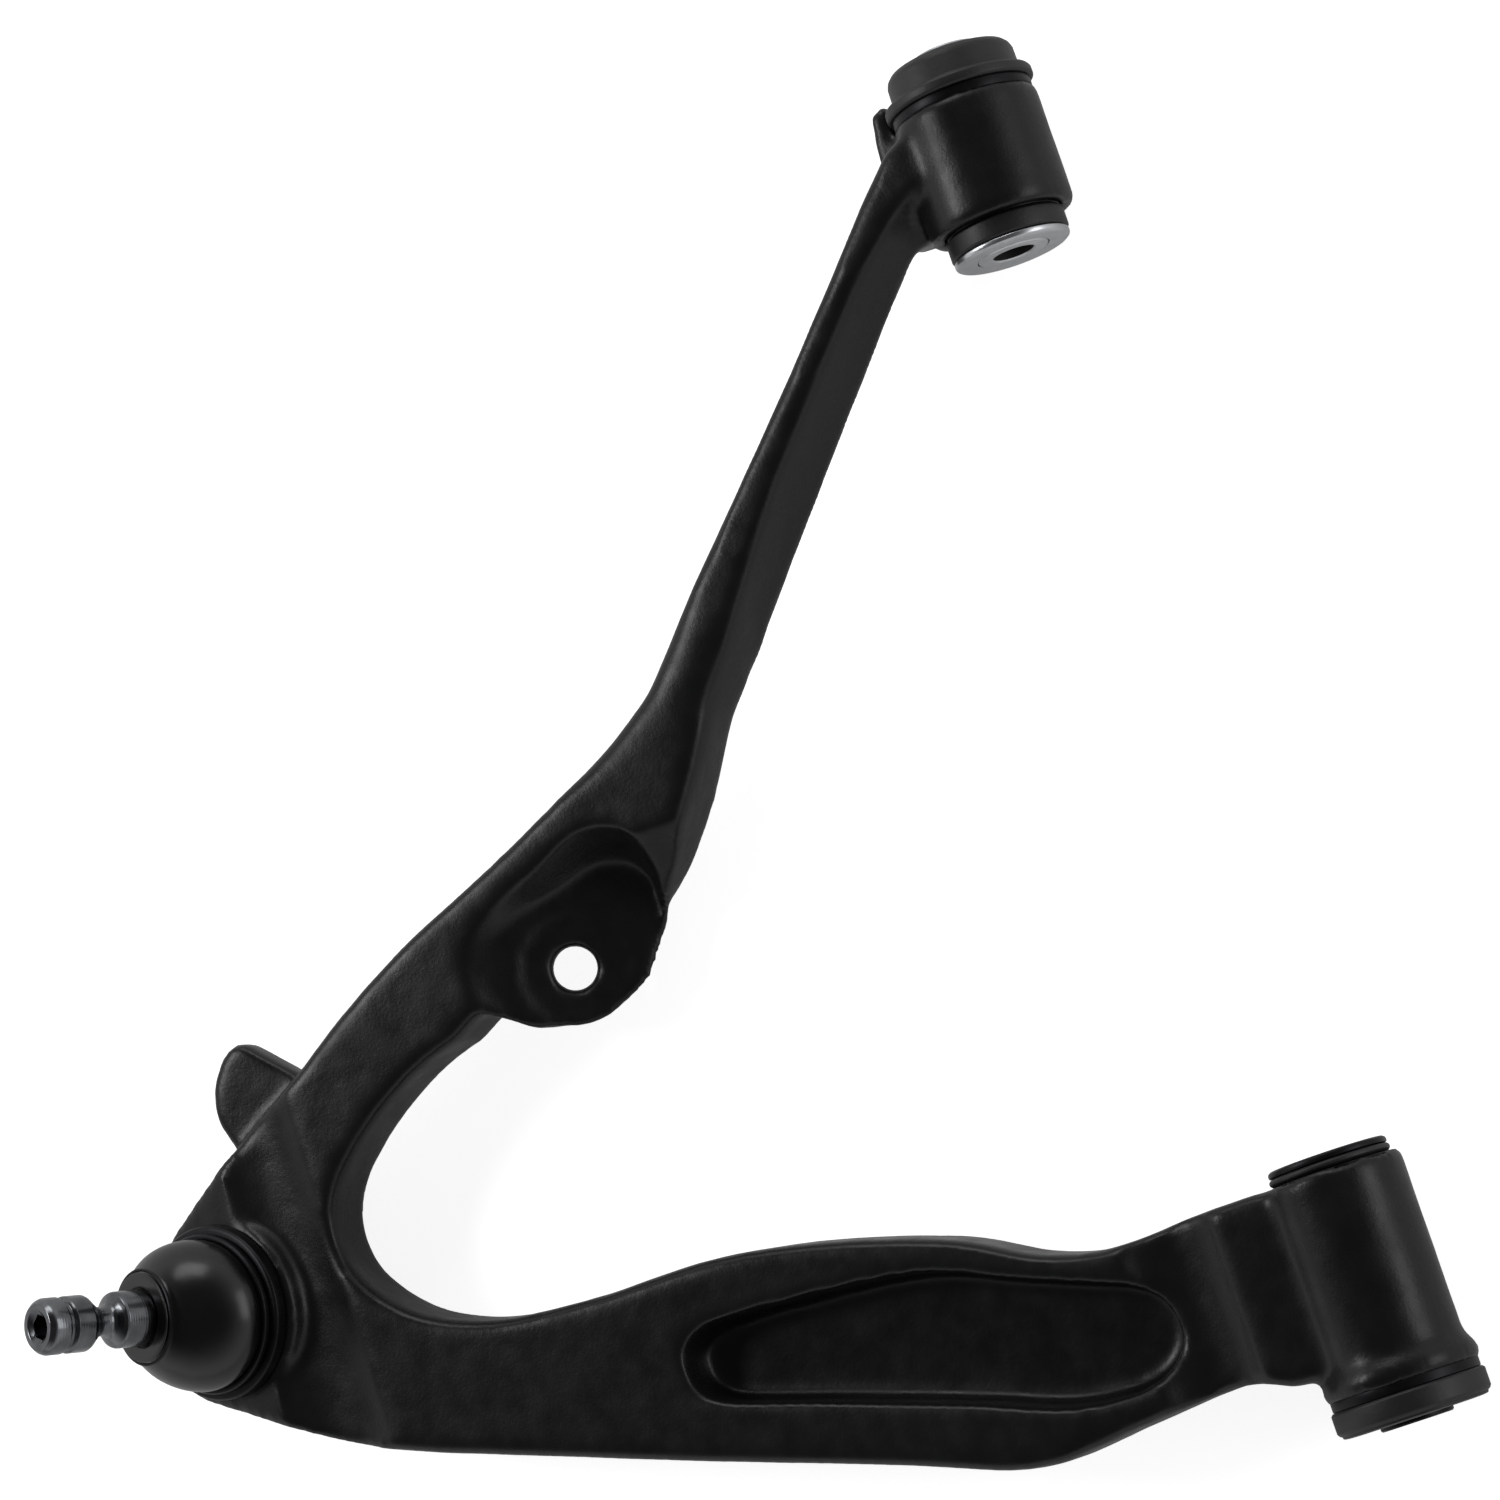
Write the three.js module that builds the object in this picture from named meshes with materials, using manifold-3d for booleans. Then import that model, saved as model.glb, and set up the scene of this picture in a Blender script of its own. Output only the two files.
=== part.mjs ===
// Cast-iron suspension control arm: a two-legged arm with a rubber bush at each inboard end and a
// ball joint pressed into its outboard end.
// Millimetres. +X runs forward along the pivot axis, +Y outboard to the ball joint, +Z towards the stud.
// The origin is on the pivot axis, at the point that both bushes are laid out from.
import * as THREE from 'three';
import { mergeVertices } from 'three/addons/utils/BufferGeometryUtils.js';
import Module from 'manifold-3d';

const wasm = await Module();
wasm.setup();

// Driving dimensions
const FIT = 0.3; // clearance kept between touching pieces
const SLIVER = 0.12; // facets that stray less than this are merged
const PLATE_TOP = 15; // upper face of the arm above the pivot axis
const PLATE_BOTTOM = -15;
const EDGE_ROUND = 3.5; // rounding of the arm's edges
const WEB_TOP = -3; // floor of the lightening pocket
const WEB_BOTTOM = -9; // roof of the recess under it
const POCKET_DRAFT = 2; // how much each pocket wall leans outwards over its depth

const BUSH_RADIUS = 20; // outside of each bush's steel sleeve
const SLEEVE_WALL = 2.3;
const BOLT_RADIUS = 7.15; // M14 pivot bolt, running clear
const INNER_SLEEVE_RADIUS = 12.5;
const WASHER_THICKNESS = 2;
const LIP_CLEARANCE = 27; // radius round the front bush's lip that the tab keeps out of
const FRONT_EYE = { rear: 178.5, front: 221.5, radius: 25.5 };
const REAR_EYE = { rear: -231, front: -158, radius: 23.6, flareRadius: 26.6, flare: 10 };

const BALL = new THREE.Vector3(-77, 396, -3); // centre of the ball
const HOUSING_LEAN = { forward: 2, outboard: 16 }; // degrees from +Z
const STUD_LEAN = { forward: 8, outboard: 26 };
const BALL_RADIUS = 15;
const CARTRIDGE_RADIUS = 24; // body of the ball joint's housing
const BORE_RADIUS = 19; // inside it
const BOSS_RADIUS = 33.5;
const BOSS_TOP = 13; // along the housing's axis, from the ball's centre
const BOSS_BOTTOM = -16;
const FLANGE_RADIUS = 31;
const FLANGE_TOP = 18.5;

const SEAT = new THREE.Vector3(-5.5, 234.5, -2); // centre of the link seat
const SEAT_LEAN = { forward: -7.5, outboard: -22.5 };
const SEAT_THICKNESS = 8;
const SEAT_RADIUS = 21;
const SEAT_LOBE = { radius: 19.7, x: 14, y: -19 }; // carries the seat's floor on to the front leg
const LINK_HOLE_RADIUS = 8;

// Materials
function finish(color, roughness, metalness) {
  return new THREE.MeshStandardMaterial({ color, roughness, metalness });
}
const blackCasting = finish(0x1a1b1d, 0.42, 0.1);
const blackSteel = finish(0x1e1f21, 0.38, 0.4);
const brightSteel = finish(0xb9bbbd, 0.3, 0.9);
const studSteel = finish(0x8d8f92, 0.28, 0.95);
const rubber = finish(0x121213, 0.6, 0);
const polymer = finish(0xd8d4c6, 0.5, 0);

// Helpers
const part = new THREE.Group();

function addPiece(name, geometry, material, parent = part) {
  const mesh = new THREE.Mesh(geometry, material);
  mesh.name = name;
  parent.add(mesh);
  return mesh;
}

const points = (pairs) => pairs.map(([x, y]) => new THREE.Vector2(x, y));

// A ring or disc from a closed profile of [radius, height] pairs, listed anticlockwise, about +Z.
function turned(profile, segments = 32) {
  const loop = points([...profile, profile[0]]);
  return new THREE.LatheGeometry(loop, segments).rotateX(Math.PI / 2);
}

// A solid from an open profile that starts and ends on the axis, about +Z.
function turnedSolid(profile, segments = 32) {
  return new THREE.LatheGeometry(points(profile), segments).rotateX(Math.PI / 2);
}

const alongX = (geometry) => geometry.rotateY(Math.PI / 2);

function direction({ forward, outboard }) {
  const lean = (degrees) => Math.tan(THREE.MathUtils.degToRad(degrees));
  return new THREE.Vector3(lean(forward), lean(outboard), 1).normalize();
}

// The placement that carries +Z at the origin to the given direction at the given point.
function placement(centre, axis) {
  const turn = new THREE.Quaternion().setFromUnitVectors(new THREE.Vector3(0, 0, 1), axis);
  return new THREE.Matrix4().compose(centre, turn, new THREE.Vector3(1, 1, 1));
}

function solid(geometry) {
  const bare = geometry.clone();
  bare.deleteAttribute('normal');
  bare.deleteAttribute('uv');
  const merged = mergeVertices(bare, 1e-4);
  return new wasm.Manifold(
    new wasm.Mesh({
      numProp: 3,
      vertProperties: new Float32Array(merged.attributes.position.array),
      triVerts: new Uint32Array(merged.index.array),
    }),
  );
}

// The finished mesh, without the slivers that cuts leave along nearly coincident edges.
function geometryOf(manifold) {
  const { vertProperties, triVerts } = manifold.simplify(SLIVER).getMesh();
  const geometry = new THREE.BufferGeometry();
  geometry.setAttribute('position', new THREE.BufferAttribute(vertProperties, 3));
  geometry.setIndex(new THREE.BufferAttribute(triVerts, 1));
  geometry.computeVertexNormals();
  return geometry;
}

// Moves every vertex of a geometry by a function of its position.
function reshape(geometry, move) {
  const position = geometry.attributes.position;
  const vertex = new THREE.Vector3();
  for (let i = 0; i < position.count; i += 1) {
    move(vertex.fromBufferAttribute(position, i));
    position.setXYZ(i, vertex.x, vertex.y, vertex.z);
  }
  return geometry;
}

// A prism on a plan outline, for cutting a pocket with draft. Its bottom and its top are each given by a
// height and by how much the outline grows there about its middle.
function draftedPrism(shape, { bottom: [bottom, growBottom], top: [top, growTop] }) {
  const prism = new THREE.ExtrudeGeometry(shape, { depth: 1, bevelEnabled: false, curveSegments: 4 });
  prism.computeBoundingBox();
  const middle = prism.boundingBox.getCenter(new THREE.Vector3());
  const half = prism.boundingBox.getSize(new THREE.Vector3()).multiplyScalar(0.5);
  return reshape(prism, (v) => {
    const grow = THREE.MathUtils.lerp(growBottom, growTop, v.z);
    v.x = middle.x + (v.x - middle.x) * (1 + grow / half.x);
    v.y = middle.y + (v.y - middle.y) * (1 + grow / half.y);
    v.z = THREE.MathUtils.lerp(bottom, top, v.z);
  });
}

// The arm's plate: ball-joint end, both sides of the fork and the thick rear leg.
const PLATE_FRONT_EDGE = [
  [62, 191], [50, 216], [36, 250], [22, 288],
  [7, 319], [-6, 341], [-16, 362], [-24, 376], [-31, 388], [-38, 401], [-44, 412],
];
const PLATE_REAR_EDGE = [
  [-116, 399], [-135, 368], [-146, 343], [-157, 312],
  [-181, 243], [-204, 174], [-217, 139],
];
const REAR_LEG_OUTSIDE = [[-221, 118], [-218, 85], [-216, 50], [-222, 32]];
const REAR_LEG_INSIDE = [
  [-158, 50], [-159, 78], [-153, 102], [-139, 129],
  [-126, 170], [-118, 212], [-117, 255],
];
const FORK = [
  [-113, 295], [-102, 324], [-84, 342], [-66, 347],
  [-49, 340], [-33, 321], [-21, 298], [-16, 280],
];
const SEAT_SURROUND = [
  [-24, 234], [-17, 213], [-6, 203], [4, 198],
  [11, 189], [20, 180], [36, 167], [57.5, 152.5],
];

function plateShape() {
  const shape = new THREE.Shape();
  shape.moveTo(74, 171);
  shape.splineThru(points(PLATE_FRONT_EDGE));
  shape.absarc(BALL.x, BALL.y + 4, BOSS_RADIUS, 0.8, Math.PI - 0.6, false);
  shape.splineThru(points(PLATE_REAR_EDGE));
  shape.splineThru(points(REAR_LEG_OUTSIDE));
  shape.lineTo(-222, 4);
  shape.lineTo(-162, 4);
  shape.lineTo(-158, 24);
  shape.splineThru(points(REAR_LEG_INSIDE));
  shape.splineThru(points(FORK));
  shape.lineTo(-10, 268);
  shape.lineTo(-21, 254);
  shape.splineThru(points(SEAT_SURROUND));
  shape.closePath();
  return shape;
}

function plate() {
  const thickness = PLATE_TOP - PLATE_BOTTOM;
  const geometry = new THREE.ExtrudeGeometry(plateShape(), {
    depth: thickness - 2 * EDGE_ROUND,
    bevelThickness: EDGE_ROUND,
    bevelSize: EDGE_ROUND,
    bevelOffset: -EDGE_ROUND,
    bevelSegments: 3,
    curveSegments: 4,
  });
  return geometry.translate(0, 0, PLATE_BOTTOM + EDGE_ROUND);
}

// The slender front leg is a bar of four-sided section beside a straight line. Each station gives its place
// along that line, how far in from it the top face starts and ends and the foot reaches, and both heights.
const LEG_START = new THREE.Vector2(49, 202.4);
const LEG_HEADING = new THREE.Vector2(172, -177.4).normalize();
const LEG_OUTER_DRAFT = 3; // the outer side leans out by this much towards the foot
const LEG_STATIONS = [
  { along: 0, outer: 4, top: 22, foot: 28, topZ: 11, footZ: -11 },
  { along: 38, outer: 4, top: 26.6, foot: 29.4, topZ: 15.2, footZ: -15.2 },
  { along: 65, outer: 3.6, top: 24.6, foot: 27.4, topZ: 15.5, footZ: -15 },
  { along: 95, outer: 4.2, top: 20, foot: 25.6, topZ: 16, footZ: -14 },
  { along: 125, outer: 4.8, top: 16.6, foot: 24.3, topZ: 16.6, footZ: -13 },
  { along: 160, outer: 5.2, top: 15.3, foot: 23, topZ: 17.6, footZ: -11 },
  { along: 195, outer: 5, top: 14.6, foot: 22, topZ: 19, footZ: -8 },
  { along: 222, outer: 4.6, top: 17.5, foot: 23, topZ: 20.4, footZ: -5 },
  { along: 240, outer: 5, top: 22.5, foot: 25, topZ: 21.2, footZ: -4 },
  { along: 247, outer: 7.2, top: 20.6, foot: 22, topZ: 21, footZ: -3 },
  { along: 250.5, outer: 11, top: 17, foot: 18, topZ: 20.2, footZ: -2 },
];

function slenderLeg() {
  const inward = new THREE.Vector2(LEG_HEADING.y, -LEG_HEADING.x);
  const corner = 0.16;
  const section = new THREE.Shape();
  section.moveTo(0, corner);
  section.lineTo(0, 1 - corner);
  section.quadraticCurveTo(0, 1, corner, 1);
  section.lineTo(1 - corner, 1);
  section.quadraticCurveTo(1, 1, 1, 1 - corner);
  section.lineTo(1, corner);
  section.quadraticCurveTo(1, 0, 1 - corner, 0);
  section.lineTo(corner, 0);
  section.quadraticCurveTo(0, 0, 0, corner);
  const steps = LEG_STATIONS.length - 1;
  const bar = new THREE.ExtrudeGeometry(section, { depth: 1, steps, bevelEnabled: false, curveSegments: 3 });
  return reshape(bar, (v) => {
    const { along, outer, top, foot, topZ, footZ } = LEG_STATIONS[Math.round((1 - v.z) * steps)];
    const nearSide = THREE.MathUtils.lerp(outer - LEG_OUTER_DRAFT, outer, v.y);
    const farSide = THREE.MathUtils.lerp(foot, top, v.y);
    const across = THREE.MathUtils.lerp(nearSide, farSide, v.x);
    const on = LEG_START.clone().addScaledVector(LEG_HEADING, along).addScaledVector(inward, across);
    v.set(on.x, on.y, THREE.MathUtils.lerp(footZ, topZ, v.y));
  });
}

// A bar along X, for hollowing a trough across the arm.
function trough(y, radius, depth, from, to) {
  const bar = new THREE.CylinderGeometry(radius, radius, to - from, 64).rotateZ(Math.PI / 2);
  return bar.translate((from + to) / 2, y, PLATE_TOP + radius - depth);
}

function lighteningPocketShape() {
  const shape = new THREE.Shape();
  shape.moveTo(-154, 235);
  shape.quadraticCurveTo(-140, 238, -138, 222);
  shape.splineThru(points([[-139, 196], [-145, 145], [-158, 112], [-172, 76]]));
  shape.quadraticCurveTo(-178, 63, -192, 63);
  shape.quadraticCurveTo(-206, 65, -208, 84);
  shape.splineThru(points([[-205, 108], [-194, 138], [-179, 182], [-166, 223]]));
  shape.quadraticCurveTo(-162, 234, -154, 235);
  return shape;
}

function stopLug() {
  const shape = new THREE.Shape();
  shape.moveTo(-14, 340);
  shape.lineTo(12, 366);
  shape.quadraticCurveTo(15, 371, 9, 377);
  shape.quadraticCurveTo(0, 386, -12, 385);
  shape.lineTo(-22, 382);
  shape.lineTo(-40, 376);
  shape.closePath();
  const height = 14;
  const round = 2;
  const lug = new THREE.ExtrudeGeometry(shape, {
    depth: height - 2 * round,
    bevelThickness: round,
    bevelSize: round,
    bevelOffset: -round,
    bevelSegments: 2,
    curveSegments: 4,
  });
  return lug.translate(0, 0, PLATE_BOTTOM + round);
}

const EYE_EDGE = 1.2; // chamfer at the ends of each eye
const EYE_CORE = BUSH_RADIUS - 6; // the eyes are turned as thick rings and bored out with the rest

function frontEye() {
  const { rear, front, radius } = FRONT_EYE;
  return alongX(turned([
    [EYE_CORE, rear],
    [radius - EYE_EDGE, rear],
    [radius, rear + EYE_EDGE],
    [radius, front - EYE_EDGE],
    [radius - EYE_EDGE, front],
    [EYE_CORE, front],
  ], 48));
}

function rearEye() {
  const { rear, front, radius, flareRadius, flare } = REAR_EYE;
  return alongX(turned([
    [EYE_CORE, rear],
    [flareRadius - EYE_EDGE, rear],
    [flareRadius, rear + EYE_EDGE],
    [flareRadius, rear + flare / 2],
    [radius, rear + flare],
    [radius, front - EYE_EDGE],
    [radius - EYE_EDGE, front],
    [EYE_CORE, front],
  ], 48));
}

// Web on the outboard side of the front eye, and the tab that runs forward from it past the bush.
function frontEyeWeb() {
  const shape = new THREE.Shape();
  shape.moveTo(181, 10);
  shape.lineTo(184, 36);
  shape.lineTo(206, 36);
  shape.lineTo(232, 33);
  shape.lineTo(236, 24);
  shape.lineTo(221, 20);
  shape.lineTo(219, 10);
  shape.closePath();
  const round = 1.5;
  const web = new THREE.ExtrudeGeometry(shape, {
    depth: 13,
    bevelThickness: round,
    bevelSize: round,
    bevelOffset: -round,
    bevelSegments: 2,
  });
  return web.translate(0, 0, -14);
}

// Open pocket down to the tilted link seat. Its wall slopes in from the rim to the plane of the seat.
const SEAT_POCKET_RIM = [
  [8, 271], [16, 267], [22, 257], [27, 245], [31, 231], [36, 219],
  [38, 210], [36, 200], [31, 193], [21, 188], [8, 189], [-4, 193],
];
const SEAT_POCKET_FOOT = 0.74; // size of the pocket at the seat's plane against its rim
const SPOTFACE = { radius: 20, depth: 1.5 };

function seatPocket() {
  const shape = new THREE.Shape();
  shape.moveTo(-14, 270);
  shape.splineThru(points(SEAT_POCKET_RIM));
  shape.lineTo(-16, 190);
  shape.lineTo(-60, 190);
  shape.lineTo(-60, 262);
  shape.closePath();
  const prism = new THREE.ExtrudeGeometry(shape, { depth: 1, bevelEnabled: false, curveSegments: 3 });
  const normal = direction(SEAT_LEAN);
  return reshape(prism, (v) => {
    if (v.z > 0.5) {
      v.z = PLATE_TOP + 2;
      return;
    }
    v.z = 0;
    v.sub(SEAT).setZ(0).multiplyScalar(SEAT_POCKET_FOOT);
    v.z = -(v.x * normal.x + v.y * normal.y) / normal.z;
    v.add(SEAT);
  });
}

// Takes the pocket's inboard wall down in a slope, from the leg's top face to the seat.
function seatWallSlope() {
  const length = 80;
  const slope = new THREE.BoxGeometry(length, 40, 40).translate(-length / 2, 0, 20);
  return slope.rotateY(THREE.MathUtils.degToRad(-38)).translate(29, 185, PLATE_TOP);
}

const cutter = (radius, length, facets = 48) => {
  return new THREE.CylinderGeometry(radius, radius, length, facets).rotateX(Math.PI / 2);
};

function bushBore({ rear, front }) {
  const past = 15;
  const bore = cutter(BUSH_RADIUS + FIT, front - rear + 2 * past);
  return alongX(bore).translate((front + rear) / 2, 0, 0);
}

// Both faces of the web are recessed to the same outline, the lower one a little smaller.
const UPPER_POCKET = { bottom: [WEB_TOP, -POCKET_DRAFT], top: [PLATE_TOP + 1, 0] };
const LOWER_POCKET = { bottom: [PLATE_BOTTOM - 1, -2], top: [WEB_BOTTOM, -2 - POCKET_DRAFT] };

// The cuts that are square to the ball joint, laid out from the centre of the ball.
function ballJointCuts() {
  const outer = 60; // the boss's face runs this far outboard of the ball
  const inner = 36; // and this far back towards the arm
  const height = 40;
  const aboveBoss = new THREE.BoxGeometry(160, outer + inner, height);
  return {
    aboveBoss: aboveBoss.translate(0, (outer - inner) / 2, BOSS_TOP + height / 2),
    underBoss: cutter(BOSS_RADIUS - 4, height).translate(0, 0, BOSS_BOTTOM - height / 2),
    housingBore: cutter(CARTRIDGE_RADIUS + FIT, 90, 56),
  };
}

function controlArm() {
  const housingAxis = placement(BALL, direction(HOUSING_LEAN));
  const seatAxis = placement(SEAT, direction(SEAT_LEAN));
  const boss = turnedSolid([
    [0, BOSS_BOTTOM],
    [BOSS_RADIUS - 5, BOSS_BOTTOM],
    [BOSS_RADIUS - 1, BOSS_BOTTOM + 6],
    [BOSS_RADIUS, BOSS_TOP - 1],
    [BOSS_RADIUS - 1, BOSS_TOP],
    [0, BOSS_TOP],
  ], 56);
  const seatPad = ({ radius, x, y }) => {
    const pad = new THREE.CylinderGeometry(radius, radius - 2, SEAT_THICKNESS, 48);
    return pad.rotateX(Math.PI / 2).translate(x, y, -SEAT_THICKNESS / 2);
  };
  const spotFace = cutter(SPOTFACE.radius, 40).translate(0, 0, 20 - SPOTFACE.depth);
  const linkHole = cutter(LINK_HOLE_RADIUS, 80, 40);
  const ball = ballJointCuts();

  let body = solid(plate());
  const add = (geometry, axis) => {
    body = body.add(solid(axis ? geometry.applyMatrix4(axis) : geometry));
  };
  const cut = (geometry, axis) => {
    body = body.subtract(solid(axis ? geometry.applyMatrix4(axis) : geometry));
  };
  add(slenderLeg());
  cut(trough(367, 44, 4.6, -140, 60));
  cut(ball.aboveBoss, housingAxis);
  cut(trough(57, 26, 7, -240, -140));
  cut(draftedPrism(lighteningPocketShape(), UPPER_POCKET));
  cut(draftedPrism(lighteningPocketShape(), LOWER_POCKET));
  cut(seatPocket());
  cut(seatWallSlope());
  add(seatPad({ radius: SEAT_RADIUS, x: 0, y: 0 }), seatAxis);
  add(seatPad(SEAT_LOBE), seatAxis);
  add(boss, housingAxis);
  add(stopLug());
  add(frontEye());
  add(frontEyeWeb());
  add(rearEye());
  cut(ball.underBoss, housingAxis);
  cut(ball.housingBore, housingAxis);
  cut(spotFace, seatAxis);
  cut(linkHole, seatAxis);
  cut(alongX(cutter(LIP_CLEARANCE, 40)).translate(FRONT_EYE.front + FIT + 20, 0, 0));
  cut(bushBore(FRONT_EYE));
  cut(bushBore(REAR_EYE));
  return geometryOf(body);
}

addPiece('control_arm', controlArm(), blackCasting);

// Bushes. Each is a steel sleeve with a flange at its outer end, bonded rubber that stands out at both
// ends, an inner sleeve for the pivot bolt, and a washer that caps the rubber at the unflanged end.
function bushPieces(name, { flangeFace, openFace, outward, flangeRadius, lip, cap, thrust, core }) {
  const x = (distance) => flangeFace + outward * distance; // measured out from the flanged end of the eye
  const y = (distance) => openFace - outward * distance; // and from its open end
  const ring = (profile) => {
    const ordered = outward > 0 ? profile : [...profile].reverse();
    return alongX(turned(ordered, 28));
  };
  const sleeveInside = BUSH_RADIUS - SLEEVE_WALL;
  const rubberOutside = sleeveInside - FIT;
  const rubberInside = INNER_SLEEVE_RADIUS + FIT;
  const flangeTop = FIT + 2.4;
  const lipTop = flangeTop + FIT + lip.height;
  const capTop = lipTop + cap.height;
  const thrustFace = FIT + thrust.height;
  addPiece(`${name}_bush_sleeve`, ring([
    [sleeveInside, y(-FIT)],
    [BUSH_RADIUS, y(-FIT)],
    [BUSH_RADIUS, x(FIT)],
    [flangeRadius, x(FIT)],
    [flangeRadius, x(flangeTop)],
    [sleeveInside, x(flangeTop)],
  ]), blackSteel);
  addPiece(`${name}_bush_rubber`, ring([
    [rubberInside, y(thrustFace)],
    [thrust.radius - 0.8, y(thrustFace)],
    [thrust.radius, y(thrustFace - 0.9)],
    [thrust.radius, y(FIT + 0.9)],
    [thrust.radius - 0.6, y(FIT)],
    [rubberOutside, y(FIT)],
    [rubberOutside, x(flangeTop + FIT)],
    [lip.radius - 0.6, x(flangeTop + FIT)],
    [lip.radius, x(flangeTop + FIT + 0.8)],
    [lip.radius, x(lipTop - 1)],
    [lip.radius - 1, x(lipTop)],
    [cap.radius, x(lipTop + 0.3)],
    [cap.radius, x(capTop - 5)],
    [cap.radius - 1.6, x(capTop - 1.8)],
    [cap.radius - 4.6, x(capTop - 0.3)],
    [rubberInside, x(capTop)],
  ]), rubber);
  addPiece(`${name}_bush_inner_sleeve`, ring([
    [BOLT_RADIUS, y(core.open)],
    [INNER_SLEEVE_RADIUS, y(core.open)],
    [INNER_SLEEVE_RADIUS, x(core.flanged)],
    [BOLT_RADIUS, x(core.flanged)],
  ]), brightSteel);
  const washerInner = y(thrustFace + FIT);
  const washerOuter = y(thrustFace + FIT + WASHER_THICKNESS);
  addPiece(`${name}_bush_washer`, ring([
    [rubberInside, washerOuter],
    [thrust.radius - 1, washerOuter],
    [thrust.radius - 0.4, washerOuter + outward * 0.6],
    [thrust.radius - 0.4, washerInner],
    [rubberInside, washerInner],
  ]), brightSteel);
}

bushPieces('front', {
  flangeFace: FRONT_EYE.front,
  openFace: FRONT_EYE.rear,
  outward: 1,
  flangeRadius: 24.6,
  lip: { radius: 26.2, height: 4.4 },
  cap: { radius: 22.6, height: 11.5 },
  thrust: { radius: 20.8, height: 7.6 },
  core: { open: 10.5, flanged: 20.5 },
});
bushPieces('rear', {
  flangeFace: REAR_EYE.rear,
  openFace: REAR_EYE.front,
  outward: -1,
  flangeRadius: 25.4,
  lip: { radius: 26.4, height: 8 },
  cap: { radius: 25, height: 1.4 },
  thrust: { radius: 20.8, height: 2.6 },
  core: { open: 5.5, flanged: 13.5 },
});

// Ball joint. Everything in this group is laid out along the housing's axis, from the centre of the ball.
const ballJoint = new THREE.Group();
ballJoint.applyMatrix4(placement(BALL, direction(HOUSING_LEAN)));
part.add(ballJoint);

const studDirection = direction(STUD_LEAN).applyQuaternion(ballJoint.quaternion.clone().invert());
const stud = new THREE.Group();
stud.quaternion.setFromUnitVectors(new THREE.Vector3(0, 0, 1), studDirection);
ballJoint.add(stud);

// Points on a sphere about the origin, between two heights, as [radius, height] pairs.
function sphereArc(radius, fromHeight, toHeight, steps) {
  return Array.from({ length: steps + 1 }, (_, i) => {
    const height = THREE.MathUtils.lerp(fromHeight, toHeight, i / steps);
    return [Math.sqrt(radius * radius - height * height), height];
  });
}

const FLANGE_UNDERSIDE = BOSS_TOP + FIT;
const SHOULDER = 8; // underside of the lip that holds the bearing in
const LINER_SPHERE = BALL_RADIUS + 0.25;
const CIRCLIP = { top: BOSS_BOTTOM - 0.6, bottom: BOSS_BOTTOM - 2.2, radius: 26.5 };
const GROOVE_RADIUS = CARTRIDGE_RADIUS - 1.6;
const COVER = { top: -18.7, bottom: -20.3 };
const HOUSING_END = -22.8;

addPiece('ball_joint_housing', turned([
  [16, HOUSING_END],
  [CARTRIDGE_RADIUS - 1.5, HOUSING_END],
  [CARTRIDGE_RADIUS, HOUSING_END + 1.5],
  [CARTRIDGE_RADIUS, CIRCLIP.bottom - FIT],
  [GROOVE_RADIUS, CIRCLIP.bottom - FIT],
  [GROOVE_RADIUS, CIRCLIP.top + FIT],
  [CARTRIDGE_RADIUS, CIRCLIP.top + FIT],
  [CARTRIDGE_RADIUS, FLANGE_UNDERSIDE],
  [FLANGE_RADIUS, FLANGE_UNDERSIDE],
  [FLANGE_RADIUS, FLANGE_TOP - 1],
  [FLANGE_RADIUS - 1, FLANGE_TOP],
  [21.8, FLANGE_TOP],
  [14.6, SHOULDER + 1.5],
  [14.6, SHOULDER],
  [BORE_RADIUS, SHOULDER],
  [BORE_RADIUS, COVER.bottom - FIT],
  [16, COVER.bottom - FIT],
], 36), blackSteel, ballJoint);

addPiece('upper_bearing_liner', turned([
  [LINER_SPHERE, FIT],
  [BORE_RADIUS - FIT, FIT],
  [BORE_RADIUS - FIT, SHOULDER - FIT],
  ...sphereArc(LINER_SPHERE, SHOULDER - FIT, FIT, 4).slice(0, -1),
]), polymer, ballJoint);

addPiece('lower_bearing_liner', turned([
  [5, -16],
  [BORE_RADIUS - FIT, -16],
  [BORE_RADIUS - FIT, -FIT],
  ...sphereArc(LINER_SPHERE, -FIT, -Math.sqrt(LINER_SPHERE ** 2 - 5 ** 2), 6),
]), polymer, ballJoint);

addPiece('preload_disc_spring', turned([
  [9, -17.4],
  [17.6, -18.4],
  [17.6, -17.4],
  [9, -16.4],
]), brightSteel, ballJoint);

addPiece('housing_cover', turnedSolid([
  [0, COVER.bottom],
  [BORE_RADIUS - FIT, COVER.bottom],
  [BORE_RADIUS - FIT, COVER.top],
  [0, COVER.top],
]), blackSteel, ballJoint);

// Open ring with a gap for the pliers.
function circlip() {
  const { radius, top, bottom } = CIRCLIP;
  const gap = 0.16;
  const shape = new THREE.Shape();
  shape.absarc(0, 0, radius, gap, 2 * Math.PI - gap, false);
  shape.absarc(0, 0, GROOVE_RADIUS + FIT, 2 * Math.PI - gap, gap, true);
  shape.closePath();
  const depth = top - bottom;
  const ring = new THREE.ExtrudeGeometry(shape, { depth, bevelEnabled: false, curveSegments: 24 });
  return ring.translate(0, 0, bottom);
}

addPiece('housing_circlip', circlip(), brightSteel, ballJoint);

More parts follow.
